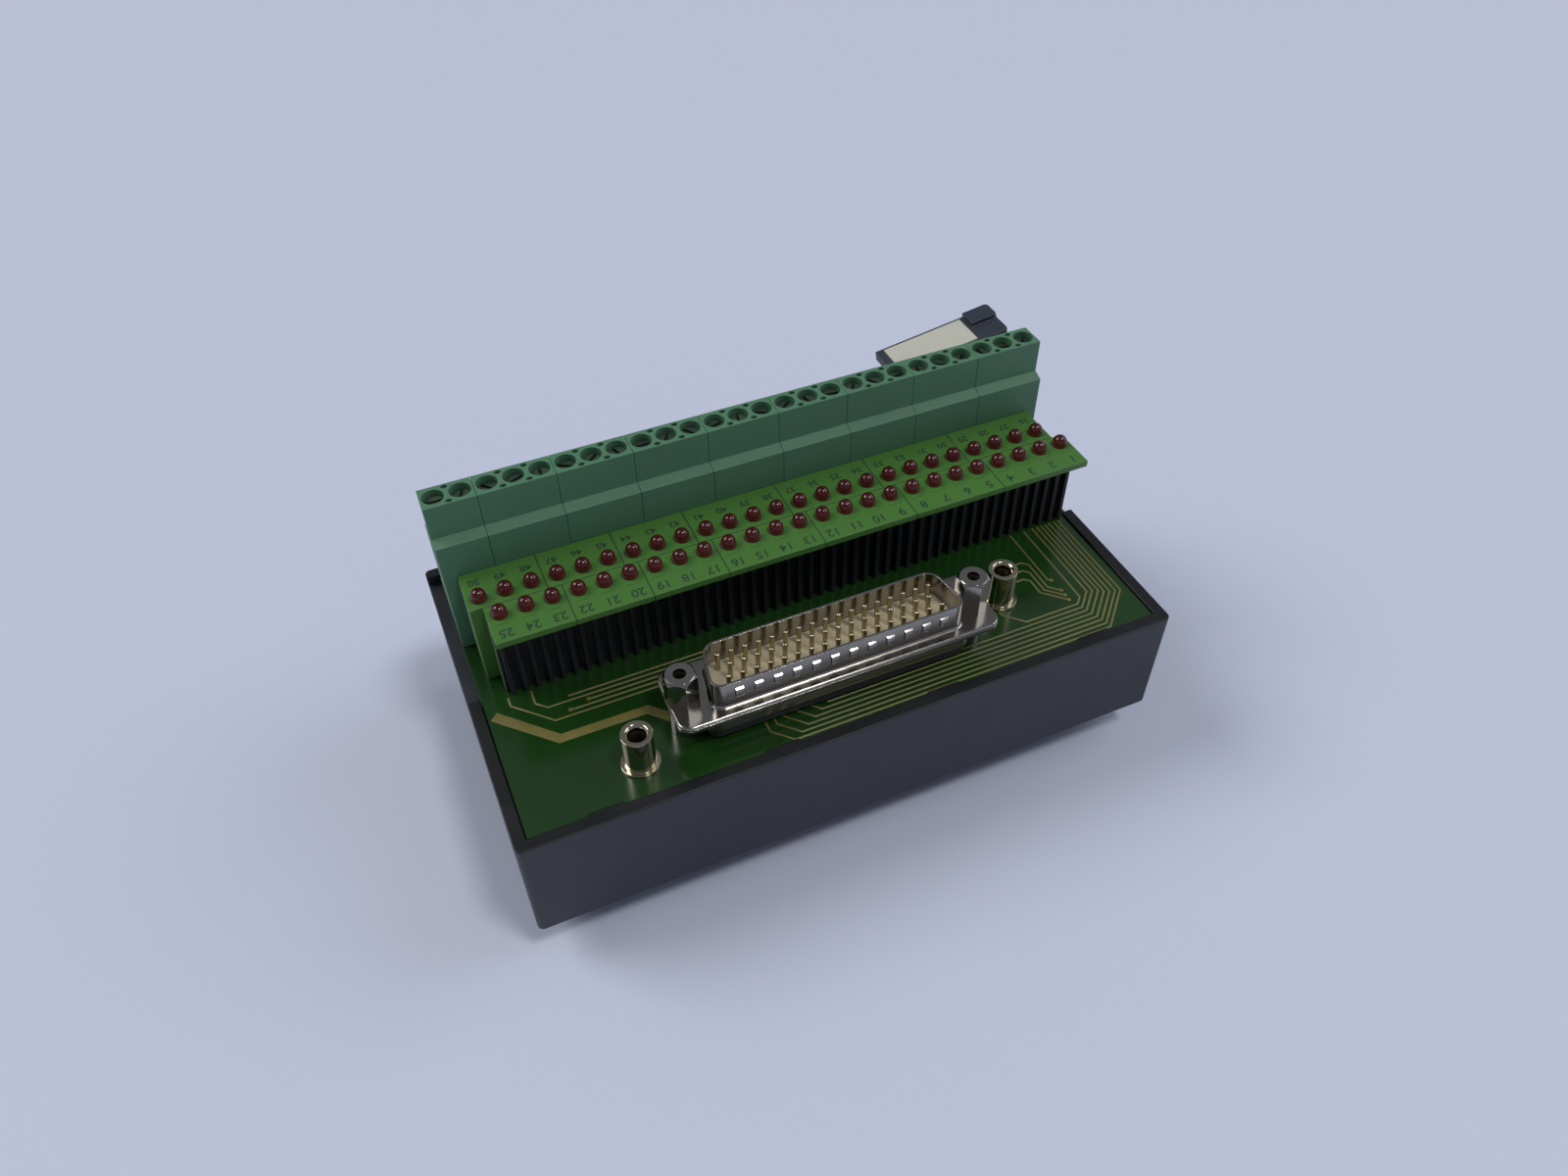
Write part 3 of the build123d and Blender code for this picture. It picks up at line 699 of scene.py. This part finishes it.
radius = lamp_radius_mm * MM
shoulder = deck_top + lamp_dome_z_mm * MM
bpy.ops.mesh.primitive_uv_sphere_add(
    segments=28, ring_count=14, radius=radius, location=(0, 0, shoulder)
)
dome = bpy.context.object
bpy.ops.object.transform_apply(location=True, rotation=True, scale=True)
bpy.ops.object.mode_set(mode="EDIT")
bpy.ops.mesh.select_all(action="SELECT")
bpy.ops.mesh.bisect(
    plane_co=(0, 0, shoulder), plane_no=(0, 0, 1), use_fill=True, clear_inner=True
)
select_faces(dome, lambda middle, normal: normal.z < -0.9)
bpy.ops.mesh.extrude_region_move(TRANSFORM_OT_translate={"value": (0, 0, -lamp_dome_z_mm * MM)})
bpy.ops.object.mode_set(mode="OBJECT")
# A thin dark ink disc round each lamp is the painted shade of its hole.
hole_shade_high = deck_top + lamp_hole_shade_rise_mm * MM
ring = upright(0, 0, deck_top - 0.2 * MM, hole_shade_high, radius + lamp_hole_shade_mm * MM, 28)


def row_of(master, node, y):
    """Copies of one piece along a row of lamps."""
    low_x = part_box(node)[0].x + radius
    copies = []
    for index in range(lamp_count):
        pick(master)
        bpy.ops.object.duplicate()
        copy = bpy.context.object
        copy.location = (low_x + index * pole_pitch_mm * MM, y, 0)
        copies.append(copy)
    return join(copies)


for name, node, y in (
    ("lamps_front", "front_lamps", front_lamp_y), ("lamps_rear", "rear_lamps", rear_lamp_y),
):
    finish_piece(row_of(dome, node, y), name, red_epoxy, nodes=[node])
    finish_piece(row_of(ring, node, y), name + "_holes", ink_and_painted_shade)
bpy.data.objects.remove(dome)
bpy.data.objects.remove(ring)


# Resistor networks. Black moulded strips that stand under the lips of the decks, with a
# rounded rib over each element and a slightly rough, dull surface.
network_hex = "#101214"
network_worn_hex = "#17191c"
network_plastic = moulded_plastic("network_epoxy", network_hex, network_worn_hex, 0.6)
networks = softened("resistor_networks", 0.12)
finish_piece(networks, "networks", network_plastic, nodes=["resistor_networks"])


# Plug shell. Two flanges of tin plated steel, drawn from sheet: the front one carries
# the keyed collar with pressed dimples along its long sides, the rear one a shallow can.
# The tin is bright. The collar rises from the flange in a fillet and its rim is rounded.
tin_hex = "#aaa69f"
tin_dull_hex = "#8d8981"
front_low, front_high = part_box("plug_front_shell")
plug_x = (front_low.x + front_high.x) / 2
plug_y = (front_low.y + front_high.y) / 2
flange_mm = 0.8
flange_corner_mm = 2.4
collar_mm = (52.8, 11.1)
collar_corner_mm = 2.6
collar_draft = math.radians(10)
collar_wall_mm = 0.5
hole_spacing_mm = 61.11
flange_hole_mm = 1.55
dimple_count = 12
dimple_pitch_mm = 3.85
dimple_mm = (1.9, 0.42, 2.2)
dimple_slope = 0.79
dimple_narrowing = 0.85
dimple_edge_mm = 0.09
dimple_z_mm = 3.55
collar_fillet_mm = 0.6
collar_rim_mm = 0.2
collar_root_mm = 0.2
flange_edge_mm = 0.36
flange_top = front_low.z + flange_mm * MM

tin_plating = plated_metal(
    "tin_plating", tin_hex, tin_dull_hex, 0.15, spots=120.0, relief_mm=0.0006
)


def bevel_edges(obj, width, segments, test):
    """Rounds the edges whose two ends pass a test."""
    pick(obj)
    bpy.ops.object.mode_set(mode="EDIT")
    bpy.ops.mesh.select_mode(type="EDGE")
    bpy.ops.mesh.select_all(action="DESELECT")
    bpy.ops.object.mode_set(mode="OBJECT")
    points = obj.data.vertices
    for edge in obj.data.edges:
        edge.select = test(*(points[i].co for i in edge.vertices))
    bpy.ops.object.mode_set(mode="EDIT")
    bpy.ops.mesh.bevel(offset=width, segments=segments, affect="EDGES", clamp_overlap=True)
    bpy.ops.mesh.select_mode(type="FACE")
    bpy.ops.object.mode_set(mode="OBJECT")
    return obj


def round_corners(obj, corner):
    """Rounds the upright edges of a block."""
    return bevel_edges(obj, corner, 8, lambda a, b: abs(a.z - b.z) > (a - b).length * 0.99)


def keyed_bar(inset_mm, z_low, z_high):
    """A bar with the keyed outline of the plug, narrower towards the terminals."""
    half_x = (collar_mm[0] / 2 - inset_mm) * MM
    half_y = (collar_mm[1] / 2 - inset_mm) * MM
    obj = block(
        (plug_x - half_x, plug_y - half_y, z_low), (plug_x + half_x, plug_y + half_y, z_high)
    )
    narrow = 1 - 2 * half_y * math.tan(collar_draft) / half_x
    select_faces(obj, lambda middle, normal: normal.y > 0.9)
    bpy.ops.transform.resize(value=(narrow, 1, 1), center_override=(plug_x, 0, 0))
    bpy.ops.object.mode_set(mode="OBJECT")
    return round_corners(obj, (collar_corner_mm - inset_mm) * MM)


def unite(obj, other):
    """Joins a second solid to the object and removes it."""
    modify(obj, "BOOLEAN", operation="UNION", object=other, solver="EXACT")
    bpy.data.objects.remove(other)
    return obj


def at_collar_foot(a, b):
    """Whether an edge lies on the flange where the collar rises from it."""
    middle = (a + b) / 2
    near_x = abs(middle.x - plug_x) < (collar_mm[0] / 2 + 0.1) * MM
    near_y = abs(middle.y - plug_y) < (collar_mm[1] / 2 + 0.1) * MM
    return max(abs(a.z - flange_top), abs(b.z - flange_top)) < 1e-6 and near_x and near_y


shell = block(front_low, (front_high.x, front_high.y, flange_top))
round_corners(shell, flange_corner_mm * MM)
round_edges(shell, flange_edge_mm, 4)
unite(shell, keyed_bar(0, flange_top - collar_root_mm * MM, front_high.z))
cut(shell, [keyed_bar(collar_wall_mm, front_low.z - MM, front_high.z + MM)])
post_xs = [plug_x - hole_spacing_mm / 2 * MM, plug_x + hole_spacing_mm / 2 * MM]
cut(shell, [
    upright(x, plug_y, front_low.z - MM, flange_top + MM, flange_hole_mm * MM) for x in post_xs
])
bevel_edges(shell, collar_fillet_mm * MM, 4, at_collar_foot)
bevel_edges(
    shell, collar_rim_mm * MM, 3, lambda a, b: min(a.z, b.z) > front_high.z - 1e-6
)
shell_parts = [shell]
for index in range(dimple_count):
    x = plug_x + (index - (dimple_count - 1) / 2) * dimple_pitch_mm * MM
    z = flange_top + dimple_z_mm * MM
    for side in (-1, 1):
        face_y = plug_y + side * collar_mm[1] / 2 * MM
        half = [size / 2 * MM for size in dimple_mm]
        bump = block(
            (x - half[0], face_y - half[1] * 2, z - half[2]),
            (x + half[0], face_y + half[1] * 2, z + half[2]),
        )
        select_faces(bump, lambda middle, normal: normal.y * side > 0.9)
        bpy.ops.transform.resize(
            value=(dimple_narrowing, 1, dimple_slope), center_override=(x, face_y, z - half[2])
        )
        bpy.ops.object.mode_set(mode="OBJECT")
        shell_parts.append(round_edges(bump, dimple_edge_mm))
shell = join(shell_parts)
finish_piece(shell, "plug_shell", tin_plating, nodes=["plug_front_shell"])
rear_shell = softened("plug_rear_shell", 0.18, 3)
finish_piece(rear_shell, "plug_can", tin_plating, nodes=["plug_rear_shell"])


# Insulators and pins. A cream insulator of glass filled polyester in the collar, and one
# in the can below it, coloured black as painted shade under the flange, carry fifty
# turned brass pins with rounded tips, flashed with gold and lightly burnished.
cream_hex = "#bab093"
cream_shade_hex = "#a79b7d"
rear_shade_hex = "#17181a"
rear_shade_worn_hex = "#202124"
gold_hex = "#c4b898"
gold_dull_hex = "#a39678"
insulator_plastic = moulded_plastic("cream_polyester", cream_hex, cream_shade_hex, 0.5)
insulator = softened("front_insulator", 0.15)
finish_piece(
    insulator, "insulator", insulator_plastic, nodes=["front_insulator"]
)
# The rear insulator is coloured black as painted shade under the flange.
black_shade_polyester = moulded_plastic("black_shade_polyester", rear_shade_hex, rear_shade_worn_hex, 0.5)
rear_insulator = softened("rear_insulator", 0.2)
finish_piece(
    rear_insulator, "rear_insulator_painted_shade", black_shade_polyester,
    nodes=["rear_insulator"],
)

gold_flash = plated_metal("gold_flash", gold_hex, gold_dull_hex, 0.22)
pin_low, pin_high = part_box("plug_contacts")
contact_rows = [17, 16, 17]
contact_pitch_mm = 2.77
row_pitch_mm = 2.84
pin_radius_mm = 0.5
pin_tip_mm = 0.3
pin = upright(0, 0, pin_low.z - 0.2 * MM, pin_high.z, pin_radius_mm * MM, 16)
select_faces(pin, lambda middle, normal: normal.z > 0.9)
bpy.ops.mesh.bevel(offset=pin_tip_mm * MM, segments=3, affect="EDGES")
bpy.ops.object.mode_set(mode="OBJECT")
pins = []
for row, count in enumerate(contact_rows):
    for index in range(count):
        pick(pin)
        bpy.ops.object.duplicate()
        copy = bpy.context.object
        x = plug_x + (index - (count - 1) / 2) * contact_pitch_mm * MM
        copy.location = (x, plug_y + (row - 1) * row_pitch_mm * MM, 0)
        pins.append(copy)
bpy.data.objects.remove(pin)
finish_piece(join(pins), "pins", gold_flash, nodes=["plug_contacts"])


# Jack posts, spacers and nuts. Hexagonal posts turned from bar, with a chamfered top and
# a threaded bore, stand on the flange. Round spacers carry the flange, and hexagonal nuts
# lie under the board. All are plated with bright nickel.
nickel_hex = "#b2aea6"
nickel_dull_hex = "#98948c"
post_low, post_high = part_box("jack_posts")
post_flats_mm = 5.8
bore_mm = 1.25
bore_depth_mm = 5.0
post_thread_mm = 0.7
post_chamfer_mm = 0.65
post_stud_mm = 1.45
post_edge_mm = 0.08
stud_root_mm = 0.3
spacer_mm = 2.75
clear_hole_mm = 1.5
thread_reach = 0.45
nickel = plated_metal(
    "bright_nickel", nickel_hex, nickel_dull_hex, 0.14, spots=120.0, relief_mm=0.0005
)


def thread(x, y, z_low, z_high, radius, pitch):
    """The thread of a bore: one ridge that winds up its wall."""
    bpy.ops.mesh.primitive_circle_add(
        vertices=3, radius=pitch * thread_reach, location=(radius, 0, 0),
        rotation=(math.pi / 2, 0, 0),
    )
    obj = bpy.context.object
    bpy.ops.object.transform_apply(location=True, rotation=True, scale=True)
    turns = int((z_high - z_low) / pitch) - 1
    modify(
        obj, "SCREW", angle=2 * math.pi, screw_offset=pitch, iterations=turns, steps=20,
        render_steps=20, axis="Z",
    )
    pick(obj)
    bpy.ops.object.mode_set(mode="EDIT")
    bpy.ops.mesh.select_all(action="SELECT")
    bpy.ops.mesh.normals_make_consistent(inside=False)
    bpy.ops.object.mode_set(mode="OBJECT")
    obj.location = (x, y, z_low + pitch / 2)
    bpy.ops.object.transform_apply(location=True, rotation=True, scale=True)
    return obj


posts = []
threads = []
corner = post_flats_mm / 2 * MM / math.cos(math.radians(30))
for x in post_xs:
    post = upright(0, 0, flange_top, post_high.z, corner, 6)
    turned = upright(0, 0, flange_top, post_high.z, corner * 1.001, 48)
    select_faces(turned, lambda middle, normal: normal.z > 0.9)
    bpy.ops.mesh.bevel(offset=post_chamfer_mm * MM, segments=1, affect="EDGES")
    bpy.ops.object.mode_set(mode="OBJECT")
    modify(post, "BOOLEAN", operation="INTERSECT", object=turned, solver="EXACT")
    bpy.data.objects.remove(turned)
    stud_high = flange_top + stud_root_mm * MM
    unite(post, upright(0, 0, post_low.z, stud_high, post_stud_mm * MM))
    round_edges(post, post_edge_mm)
    bore_bottom = post_high.z - bore_depth_mm * MM
    cut(post, [upright(0, 0, bore_bottom, post_high.z + MM, bore_mm * MM)])
    post.location = (x, plug_y, 0)
    posts.append(post)
    threads.append(
        thread(x, plug_y, bore_bottom, post_high.z, bore_mm * MM, post_thread_mm * MM)
    )
finish_piece(join(posts), "posts", nickel, nodes=["jack_posts"])

spacer_low, spacer_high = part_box("flange_spacers")
nut_low, nut_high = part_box("post_nuts")
spacers = []
nuts = []
for x in post_xs:
    spacer = upright(x, plug_y, spacer_low.z, spacer_high.z, spacer_mm * MM, 40)
    cut(spacer, [upright(x, plug_y, spacer_low.z - MM, spacer_high.z + MM, clear_hole_mm * MM)])
    spacers.append(round_edges(spacer, 0.15))
    nut = upright(0, 0, nut_low.z, nut_high.z, corner, 6)
    nut.rotation_euler.z = math.radians(30)
    nut.location.x = x
    nut.location.y = plug_y
    pick(nut)
    bpy.ops.object.transform_apply(location=True, rotation=True, scale=True)
    cut(nut, [upright(x, plug_y, nut_low.z - MM, nut_high.z + MM, clear_hole_mm * MM)])
    nuts.append(round_edges(nut, 0.2))
finish_piece(join(spacers), "spacers", nickel, nodes=["flange_spacers"])
finish_piece(join(nuts), "nuts", nickel, nodes=["post_nuts"])


# Round standoffs. Turned brass, nickel plated with a warm tint, on a wider foot ring
# that is pressed into the board. The bore has a countersunk mouth and a coarse thread
# that shows from above, painted darker as shade in its grooves.
standoff_hex = "#c2bba5"
standoff_dull_hex = "#a69f89"
thread_shade_hex = "#575242"
thread_shade_dull_hex = "#3f3b2f"
standoff_low, standoff_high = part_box("round_standoffs")
standoff_radius_mm = 3.05
standoff_bore_mm = 1.65
standoff_bore_depth_mm = 7.4
standoff_foot_mm = (3.8, 0.6)
standoff_thread_mm = 0.85
standoff_mouth_mm = 0.5
standoff_shank_mm = 2.3
standoff_edge_mm = 0.14
warm_nickel = plated_metal(
    "warm_nickel", standoff_hex, standoff_dull_hex, 0.12, spots=120.0, relief_mm=0.0005
)
# The threads of the posts and standoffs are painted dark as shade in their grooves.
thread_painted_shade = plated_metal("thread_painted_shade", thread_shade_hex, thread_shade_dull_hex, 0.35)


def mouth_of(x, y):
    """A test for the edges that run round the mouth of the bore at a place."""
    middle = Vector((x, y))
    reach = (standoff_bore_mm + 0.1) * MM
    top = standoff_high.z - 1e-6
    return lambda a, b: all(
        point.z > top and (point.xy - middle).length < reach for point in (a, b)
    )


standoffs = []
for x, y in (
    (standoff_low.x + standoff_radius_mm * MM, standoff_low.y + standoff_radius_mm * MM),
    (standoff_high.x - standoff_radius_mm * MM, standoff_high.y - standoff_radius_mm * MM),
):
    body = upright(x, y, board_high.z, standoff_high.z, standoff_radius_mm * MM, 56)
    foot = upright(
        x, y, board_high.z, board_high.z + standoff_foot_mm[1] * MM, standoff_foot_mm[0] * MM, 56
    )
    unite(body, foot)
    shank_high = board_high.z + stud_root_mm * MM
    unite(body, upright(x, y, board_low.z, shank_high, standoff_shank_mm * MM))
    bore_bottom = standoff_high.z - standoff_bore_depth_mm * MM
    cut(body, [upright(x, y, bore_bottom, standoff_high.z + MM, standoff_bore_mm * MM, 40)])
    bevel_edges(body, standoff_mouth_mm * MM, 1, mouth_of(x, y))
    round_edges(body, standoff_edge_mm)
    standoffs.append(body)
    threads.append(
        thread(x, y, bore_bottom, standoff_high.z, standoff_bore_mm * MM, standoff_thread_mm * MM)
    )
finish_piece(
    join(standoffs), "standoffs", warm_nickel, nodes=["round_standoffs"]
)
finish_piece(join(threads), "threads", thread_painted_shade)


# Rail feet, latches, springs and screws. The feet and latches are moulded from grey
# polyamide, and the latch slides out against a folded strip of spring steel.
foot_hex = "#2b2f37"
foot_worn_hex = "#363b44"
latch_hex = "#4a4e56"
latch_worn_hex = "#565b63"
spring_hex = "#9a9da0"
spring_dull_hex = "#76797d"
foot_plastic = moulded_plastic("foot_polyamide", foot_hex, foot_worn_hex, 0.5)
latch_plastic = moulded_plastic("latch_polyamide", latch_hex, latch_worn_hex, 0.45)
spring_steel = plated_metal("spring_steel", spring_hex, spring_dull_hex, 0.3)
for side in ("left", "right"):
    foot = softened("rail_foot_" + side, 0.2)
    finish_piece(foot, "foot_" + side, foot_plastic, nodes=["rail_foot_" + side])
    latch = softened("foot_latch_" + side, 0.2)
    finish_piece(
        latch, "latch_" + side, latch_plastic,
        body="latch_" + side, nodes=["foot_latch_" + side],
    )
    node = "latch_spring_" + side
    low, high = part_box(node)
    spring = softened(node, 0.05)
    finish_piece(spring, "spring_" + side, spring_steel, nodes=[node])
    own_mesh(spring)
foot_screws = softened("foot_screws", 0.2)
finish_piece(foot_screws, "screws_of_feet", zinc_plating, nodes=["foot_screws"])


# Marker carrier. A black moulded plate that slopes behind the right end of the terminals
# on two arms, with a bare cream label laid in its recess and a raised grip at its high
# end, where the corners are round.
label_hex = "#b9b9ac"
label_shade_hex = "#b0b0a2"
carrier_hex = "#262b35"
carrier_worn_hex = "#303642"
marker_slope = math.radians(8.7)
marker_length_mm = 28.3
marker_grip_mm = 1.0
marker_corner_mm = 0.9
marker_low, marker_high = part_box("marker_carrier")
marker_along = Vector((math.cos(marker_slope), 0, math.sin(marker_slope)))
marker_up = Vector((-math.sin(marker_slope), 0, math.cos(marker_slope)))
marker_grip_corner = marker_length_mm * MM * marker_along + marker_grip_mm * MM * marker_up
marker_foot = Vector((marker_low.x, 0, marker_high.z - marker_grip_corner.z))


def at_marker_end(a, b):
    """Whether an edge stands upright on the plate at its high end."""
    reach = min((point - marker_foot).dot(marker_along) for point in (a, b))
    upright_edge = abs((a - b).dot(marker_up)) > 0.99 * (a - b).length
    return reach > (marker_length_mm - 0.05) * MM and upright_edge


carrier_plastic = moulded_plastic("carrier_polyamide", carrier_hex, carrier_worn_hex, 0.45)
carrier = merged_copy("marker_carrier")
bevel_edges(carrier, marker_corner_mm * MM, 5, at_marker_end)
round_edges(carrier, 0.3)
finish_piece(carrier, "carrier", carrier_plastic, nodes=["marker_carrier"])
label_card = moulded_plastic("label_card", label_hex, label_shade_hex, 0.7)
label = softened("marker_label", 0.08)
finish_piece(label, "label", label_card, nodes=["marker_label"])


# Floor, light and camera: a pale lilac grey table that sweeps up far from the object,
# under soft light from behind on the left, from the right and from above.
floor_hex = "#bec3d4"
sky_hex = "#d0d4e0"
sky_strength = 0.3
table_radius = 5.0
table_rise = 1.8
table_sweep = 0.9
floor_material = new_material("pale_table")
floor_shader = add_node(
    floor_material, "ShaderNodeBsdfPrincipled",
    {"Base Color": linear(floor_hex), "Roughness": 0.7, "Specular IOR Level": 0.2},
)
add_node(floor_material, "ShaderNodeOutputMaterial", {"Surface": floor_shader.outputs["BSDF"]})
bpy.ops.mesh.primitive_cylinder_add(
    vertices=96, radius=table_radius, depth=table_rise, location=(0, 0, table_rise / 2)
)
floor = bpy.context.object
floor.name = "table"
select_faces(floor, lambda middle, normal: normal.z > 0.9)
bpy.ops.mesh.delete(type="FACE")
select_faces(floor, lambda middle, normal: normal.z < -0.9)
bpy.ops.mesh.bevel(offset=table_sweep, segments=10, affect="EDGES")
bpy.ops.object.mode_set(mode="OBJECT")
bpy.ops.object.shade_smooth()
floor.data.materials.append(floor_material)

world = bpy.data.worlds.new("studio")
bpy.context.scene.world = world
world.use_nodes = True
world_sky = world.node_tree.nodes["Background"]
world_sky.inputs["Color"].default_value = linear(sky_hex)
world_sky.inputs["Strength"].default_value = sky_strength

for name, place, spread, strength, hue in (
    ("key", (-0.7, 0.48, 0.9), 30, 1.4, "#ffffff"),
    ("side", (0.95, -0.1, 0.8), 40, 0.75, "#f4f6ff"),
    ("top", (0.22, -0.34, 0.91), 11, 1.0, "#ffffff"),
):
    bpy.ops.object.light_add(type="SUN", location=place)
    sun = bpy.context.object
    sun.name = name
    sun.data.angle = math.radians(spread)
    sun.data.energy = strength
    sun.data.color = linear(hue)[:3]
    sun.rotation_euler = (-Vector(place)).to_track_quat("-Z", "Y").to_euler()

camera_place = Vector((-0.069378, -0.159571, 0.212186))
camera_right = Vector((0.91539565, -0.40243178, -0.00997373))
camera_up = Vector((0.29180218, 0.64627569, 0.70510937))
camera_back = Vector((-0.27731263, -0.6483644, 0.70902843))
bpy.ops.object.camera_add()
camera = bpy.context.object
camera.data.sensor_width = 36
camera.data.lens = 27.09
camera.data.clip_start = 0.01
turn = Matrix((camera_right, camera_up, camera_back)).transposed()
camera.matrix_world = Matrix.Translation(camera_place) @ turn.to_4x4()
bpy.context.scene.camera = camera
bpy.context.scene.view_settings.view_transform = "Standard"

bpy.context.view_layer.update()
